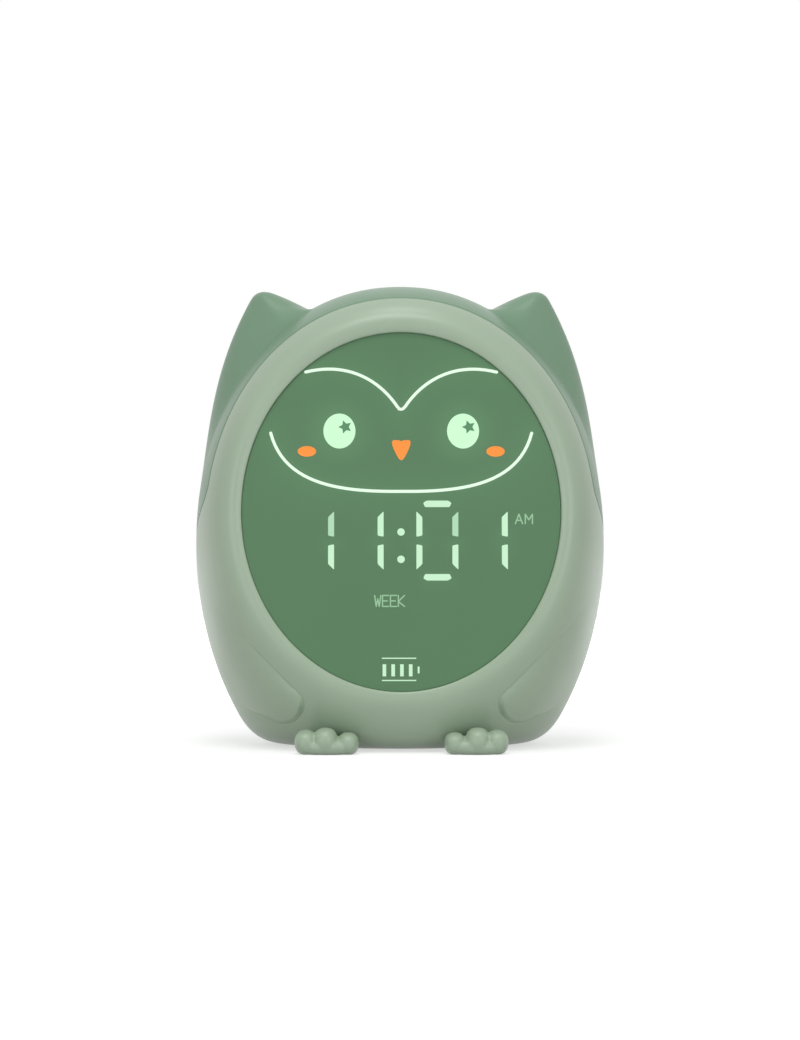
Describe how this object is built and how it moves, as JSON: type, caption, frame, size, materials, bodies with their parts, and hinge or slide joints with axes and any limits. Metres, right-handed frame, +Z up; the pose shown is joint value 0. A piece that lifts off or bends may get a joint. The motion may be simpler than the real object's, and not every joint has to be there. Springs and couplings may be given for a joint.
{
  "type": "alarm clock",
  "caption": "Owl-shaped digital alarm clock with a lit oval face, night light, speaker grille, push keys and a slide switch on its back, standing on two moulded feet.",
  "frame": {"origin": "on the standing surface, below the middle of the box around the whole clock", "axes": "+Z up through the crown, -Y out of the lit face, +X to the right as seen from the front"},
  "size_m": [0.1236, 0.0844, 0.1387],
  "materials": {
    "sage_plastic": "satin moulded",
    "deep_sage_plastic": "satin moulded",
    "tinted_lens": "gloss, lit from behind",
    "printed_film": "printed",
    "milky_sheet": "translucent",
    "white_plastic": "moulded",
    "foam_tape": "foam",
    "circuit_board": "solder mask",
    "led_resin": "clear resin",
    "black_plastic": "moulded",
    "screw_steel": "zinc plated",
    "ribbon": "flat cable",
    "key_rubber": "silicone",
    "ivory_plastic": "moulded",
    "ferrite": "pressed",
    "cone_paper": "pressed",
    "copper_wire": "enamelled",
    "cell_wrap": "shrink sleeve",
    "lead_vinyl": "vinyl",
    "pad_rubber": "moulded"
  },
  "bodies": {
    "casing": {"front_shell": "sage_plastic", "rear_shell": "deep_sage_plastic", "back_panel": "sage_plastic", "face_lens": "tinted_lens", "lens_tape": "foam_tape", "mask_film": "printed_film", "diffuser_sheet": "milky_sheet", "light_box": "white_plastic", "display_board": "circuit_board", "display_leds": "led_resin", "display_chips": "black_plastic", "display_screws": "screw_steel", "ribbon_cable": "ribbon", "main_board": "circuit_board", "board_chips": "black_plastic", "clock_crystal": "screw_steel", "board_screws": "screw_steel", "key_switches": "black_plastic", "power_switch": "screw_steel", "usb_socket": "screw_steel", "usb_tongue": "black_plastic", "speaker_frame": "screw_steel", "speaker_magnet": "ferrite", "speaker_gasket": "foam_tape", "speaker_lead": "lead_vinyl", "battery_cell": "cell_wrap", "battery_cradle": "white_plastic", "battery_strap": "foam_tape", "battery_lead": "lead_vinyl", "cradle_screws": "screw_steel", "case_screws": "screw_steel", "panel_screws": "screw_steel", "left_foot": "sage_plastic", "right_foot": "sage_plastic", "rear_pads": "pad_rubber"},
    "alarm_button": {"alarm_key": "key_rubber", "alarm_plunger": "ivory_plastic"},
    "mode_button": {"mode_key": "key_rubber", "mode_plunger": "ivory_plastic"},
    "light_button": {"light_key": "key_rubber", "light_plunger": "ivory_plastic"},
    "down_button": {"down_key": "key_rubber", "down_plunger": "ivory_plastic"},
    "up_button": {"up_key": "key_rubber", "up_plunger": "ivory_plastic"},
    "nap_button": {"nap_key": "key_rubber", "nap_plunger": "ivory_plastic"},
    "power_nib": {"power_slider": "black_plastic"},
    "cone": {"speaker_cone": "cone_paper", "voice_coil": "copper_wire"}
  },
  "joints": [
    {"name": "alarm_press", "type": "slide", "parent": "casing", "child": "alarm_button", "axis": [0, -1, 0], "range_m": [0, 0.0005], "stiffness_N_per_m": 400},
    {"name": "mode_press", "type": "slide", "parent": "casing", "child": "mode_button", "axis": [0, -1, 0], "range_m": [0, 0.0005], "stiffness_N_per_m": 400},
    {"name": "light_press", "type": "slide", "parent": "casing", "child": "light_button", "axis": [0, -1, 0], "range_m": [0, 0.0005], "stiffness_N_per_m": 400},
    {"name": "down_press", "type": "slide", "parent": "casing", "child": "down_button", "axis": [0, -1, 0], "range_m": [0, 0.0005], "stiffness_N_per_m": 400},
    {"name": "up_press", "type": "slide", "parent": "casing", "child": "up_button", "axis": [0, -1, 0], "range_m": [0, 0.0005], "stiffness_N_per_m": 400},
    {"name": "nap_press", "type": "slide", "parent": "casing", "child": "nap_button", "axis": [0, -1, 0], "range_m": [0, 0.0005], "stiffness_N_per_m": 400},
    {"name": "power_slide", "type": "slide", "parent": "casing", "child": "power_nib", "axis": [1, 0, 0], "range_m": [0, 0.003]},
    {"name": "cone_travel", "type": "slide", "parent": "casing", "child": "cone", "axis": [0, 1, 0], "range_m": [-0.0005, 0.0005], "stiffness_N_per_m": 500}
  ]
}
